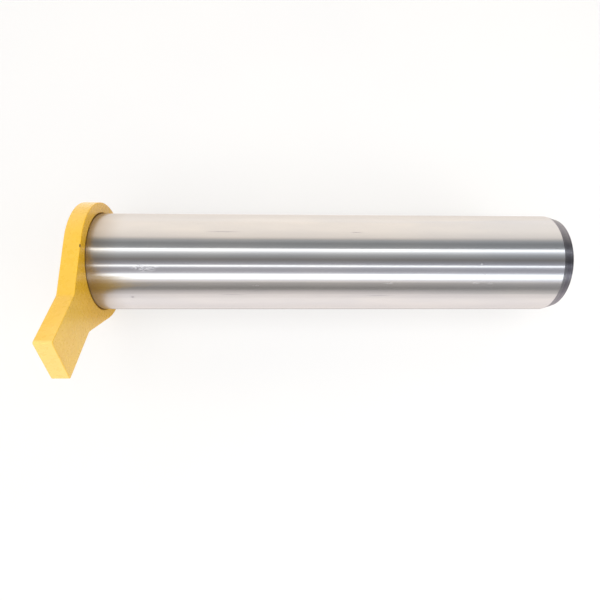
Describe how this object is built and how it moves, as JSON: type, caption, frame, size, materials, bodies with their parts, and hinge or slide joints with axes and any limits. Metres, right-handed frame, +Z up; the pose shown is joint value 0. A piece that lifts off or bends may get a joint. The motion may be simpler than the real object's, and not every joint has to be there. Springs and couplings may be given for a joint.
{
  "type": "equipment pivot pin with flag plate",
  "caption": "Ground steel pivot pin for heavy equipment with a welded flag plate that stops it turning, a tapered lead-in and a grease nipple in the head.",
  "frame": {"origin": "on the pin's axis, at the inner face of the flag plate, where the full-diameter shank starts", "axes": "+X along the shank from the flag to the free end, +Z up with the pin lying on its side; the flag's tail points to -Y and 30 degrees above level"},
  "size_m": [0.6301, 0.2408, 0.1893],
  "materials": {
    "ground_steel": "fine ground and polished round the shank, dull turned marks on the lead-in",
    "painted_plate": "semi-gloss golden yellow paint over steel plate",
    "painted_weld": "the same yellow paint over a rippled weld bead",
    "plated_steel": "pale yellowish zinc plating, satin",
    "bright_ball": "polished steel ball",
    "spring_wire": "drawn spring wire"
  },
  "bodies": {
    "pin": {"pin_shank": "ground_steel", "flag_plate": "painted_plate", "flag_weld": "painted_weld", "grease_nipple_body": "plated_steel", "check_spring": "spring_wire"},
    "ball": {"check_ball": "bright_ball"}
  },
  "joints": [
    {"name": "check_ball_travel", "type": "slide", "parent": "pin", "child": "ball", "axis": [1, 0, 0], "range_m": [0, 0.0008], "stiffness_N_per_m": 400, "springref_m": -0.003, "deforming": ["check_spring"]}
  ]
}
